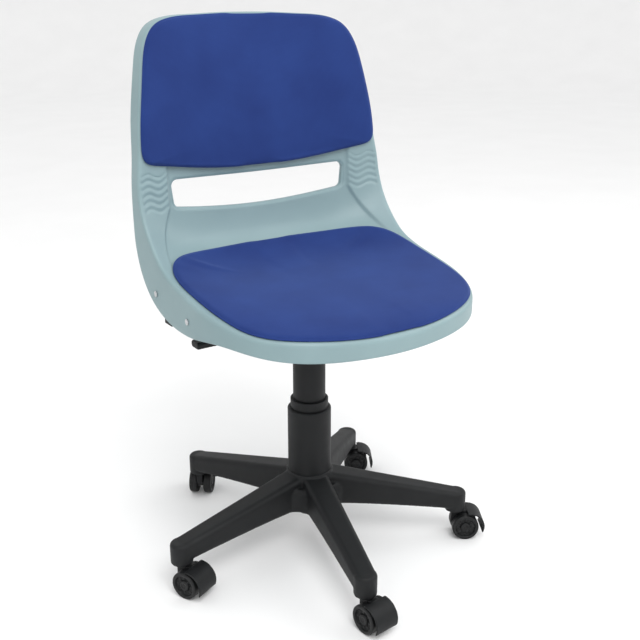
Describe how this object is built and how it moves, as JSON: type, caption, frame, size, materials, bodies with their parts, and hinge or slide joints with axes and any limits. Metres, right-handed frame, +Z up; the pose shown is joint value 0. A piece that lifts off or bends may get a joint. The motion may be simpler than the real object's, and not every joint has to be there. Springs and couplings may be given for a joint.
{
  "type": "swivel task chair",
  "caption": "Armless swivel task chair: one-piece moulded seat and back shell with fabric pads, telescopic-covered gas lift and star base on twin-wheel casters.",
  "frame": {"origin": "point on the floor under the middle of the column", "axes": "+Z up; the chair faces -Y; +X is the sitter's left"},
  "size_m": [0.5874, 0.6358, 0.9485],
  "materials": {
    "shell_plastic": "fine texture",
    "fabric": "woven",
    "board": "plain",
    "black_nylon": "satin",
    "wheel_nylon": "satin",
    "black_steel": "powder coat",
    "bright_steel": "satin"
  },
  "bodies": {
    "base": {"five_star_base": "black_nylon", "hub_collar": "black_steel", "column_tube": "black_steel", "guide_bushing": "black_nylon", "thrust_bearing": "bright_steel", "cover_lower": "black_nylon"},
    "cover_middle": {"cover_middle": "black_nylon"},
    "spindle": {"piston_rod": "bright_steel", "retaining_clip": "bright_steel"},
    "seat": {"pressure_cylinder": "bright_steel", "cover_upper": "black_nylon", "mechanism_housing": "black_steel", "mechanism_lid": "black_steel", "housing_bolts": "bright_steel", "front_rail": "black_steel", "rear_rail": "black_steel", "rail_caps": "black_nylon", "foot_screws": "bright_steel", "shell": "shell_plastic", "side_screws": "bright_steel", "back_pad": "fabric", "back_pad_board": "board", "seat_pad": "fabric", "seat_pad_board": "board", "lever_pin": "bright_steel"},
    "lever": {"lift_lever": "black_steel", "lever_grip": "black_nylon"},
    "button": {"release_button": "bright_steel"},
    "caster_front": {"caster_housing_front": "black_nylon", "caster_stem_front": "bright_steel", "caster_axle_front": "bright_steel"},
    "wheel_a_front": {"wheel_a_front": "wheel_nylon"},
    "wheel_b_front": {"wheel_b_front": "wheel_nylon"},
    "caster_front_right": {"caster_housing_front_right": "black_nylon", "caster_stem_front_right": "bright_steel", "caster_axle_front_right": "bright_steel"},
    "wheel_a_front_right": {"wheel_a_front_right": "wheel_nylon"},
    "wheel_b_front_right": {"wheel_b_front_right": "wheel_nylon"},
    "caster_rear_right": {"caster_housing_rear_right": "black_nylon", "caster_stem_rear_right": "bright_steel", "caster_axle_rear_right": "bright_steel"},
    "wheel_a_rear_right": {"wheel_a_rear_right": "wheel_nylon"},
    "wheel_b_rear_right": {"wheel_b_rear_right": "wheel_nylon"},
    "caster_rear_left": {"caster_housing_rear_left": "black_nylon", "caster_stem_rear_left": "bright_steel", "caster_axle_rear_left": "bright_steel"},
    "wheel_a_rear_left": {"wheel_a_rear_left": "wheel_nylon"},
    "wheel_b_rear_left": {"wheel_b_rear_left": "wheel_nylon"},
    "caster_front_left": {"caster_housing_front_left": "black_nylon", "caster_stem_front_left": "bright_steel", "caster_axle_front_left": "bright_steel"},
    "wheel_a_front_left": {"wheel_a_front_left": "wheel_nylon"},
    "wheel_b_front_left": {"wheel_b_front_left": "wheel_nylon"}
  },
  "joints": [
    {"name": "seat_swivel", "type": "hinge", "parent": "base", "child": "spindle", "pos_m": [0, 0, 0.07], "axis": [0, 0, 1], "continuous": true},
    {"name": "seat_lift", "type": "slide", "parent": "spindle", "child": "seat", "axis": [0, 0, 1], "range_m": [-0.08, 0.02]},
    {"name": "cover_follow", "type": "slide", "parent": "base", "child": "cover_middle", "axis": [0, 0, 1], "range_m": [-0.04, 0.01]},
    {"name": "lever_lift", "type": "hinge", "parent": "seat", "child": "lever", "pos_m": [-0.048, 0, 0.4215], "axis": [0, 1, 0], "range_deg": [0, 2.9], "stiffness_Nm_per_rad": 2, "springref_deg": -2.86},
    {"name": "button_press", "type": "slide", "parent": "seat", "child": "button", "axis": [0, 0, -1], "range_m": [0, 0.0026]},
    {"name": "caster_swivel_front", "type": "hinge", "parent": "base", "child": "caster_front", "pos_m": [-0.06885, -0.26624, 0.06], "axis": [0, 0, 1], "continuous": true},
    {"name": "wheel_spin_a_front", "type": "hinge", "parent": "caster_front", "child": "wheel_a_front", "pos_m": [-0.0672, -0.28517, 0.025], "axis": [0.9962, 0.0872, 0], "continuous": true},
    {"name": "wheel_spin_b_front", "type": "hinge", "parent": "caster_front", "child": "wheel_b_front", "pos_m": [-0.0672, -0.28517, 0.025], "axis": [0.9962, 0.0872, 0], "continuous": true},
    {"name": "caster_swivel_front_right", "type": "hinge", "parent": "base", "child": "caster_front_right", "pos_m": [-0.27449, -0.01679, 0.06], "axis": [0, 0, 1], "continuous": true},
    {"name": "wheel_spin_a_front_right", "type": "hinge", "parent": "caster_front_right", "child": "wheel_a_front_right", "pos_m": [-0.26646, -0.03401, 0.025], "axis": [0.9063, 0.4226, 0], "continuous": true},
    {"name": "wheel_spin_b_front_right", "type": "hinge", "parent": "caster_front_right", "child": "wheel_b_front_right", "pos_m": [-0.26646, -0.03401, 0.025], "axis": [0.9063, 0.4226, 0], "continuous": true},
    {"name": "caster_swivel_rear_right", "type": "hinge", "parent": "base", "child": "caster_rear_right", "pos_m": [-0.10079, 0.25587, 0.06], "axis": [0, 0, 1], "continuous": true},
    {"name": "wheel_spin_a_rear_right", "type": "hinge", "parent": "caster_rear_right", "child": "wheel_a_rear_right", "pos_m": [-0.08858, 0.27042, 0.025], "axis": [-0.766, 0.6428, 0], "continuous": true},
    {"name": "wheel_spin_b_rear_right", "type": "hinge", "parent": "caster_rear_right", "child": "wheel_b_rear_right", "pos_m": [-0.08858, 0.27042, 0.025], "axis": [-0.766, 0.6428, 0], "continuous": true},
    {"name": "caster_swivel_rear_left", "type": "hinge", "parent": "base", "child": "caster_rear_left", "pos_m": [0.2122, 0.17492, 0.06], "axis": [0, 0, 1], "continuous": true},
    {"name": "wheel_spin_a_rear_left", "type": "hinge", "parent": "caster_rear_left", "child": "wheel_a_rear_left", "pos_m": [0.22831, 0.16485, 0.025], "axis": [0.5299, 0.848, 0], "continuous": true},
    {"name": "wheel_spin_b_rear_left", "type": "hinge", "parent": "caster_rear_left", "child": "wheel_b_rear_left", "pos_m": [0.22831, 0.16485, 0.025], "axis": [0.5299, 0.848, 0], "continuous": true},
    {"name": "caster_swivel_front_left", "type": "hinge", "parent": "base", "child": "caster_front_left", "pos_m": [0.23193, -0.14776, 0.06], "axis": [0, 0, 1], "continuous": true},
    {"name": "wheel_spin_a_front_left", "type": "hinge", "parent": "caster_front_left", "child": "wheel_a_front_left", "pos_m": [0.24805, -0.15783, 0.025], "axis": [0.5299, 0.848, 0], "continuous": true},
    {"name": "wheel_spin_b_front_left", "type": "hinge", "parent": "caster_front_left", "child": "wheel_b_front_left", "pos_m": [0.24805, -0.15783, 0.025], "axis": [0.5299, 0.848, 0], "continuous": true}
  ],
  "couplings": [
    {"joint": "cover_follow", "follows": "seat_lift", "ratio": 0.5},
    {"joint": "button_press", "follows": "lever_lift", "m_per_rad": 0.048}
  ]
}
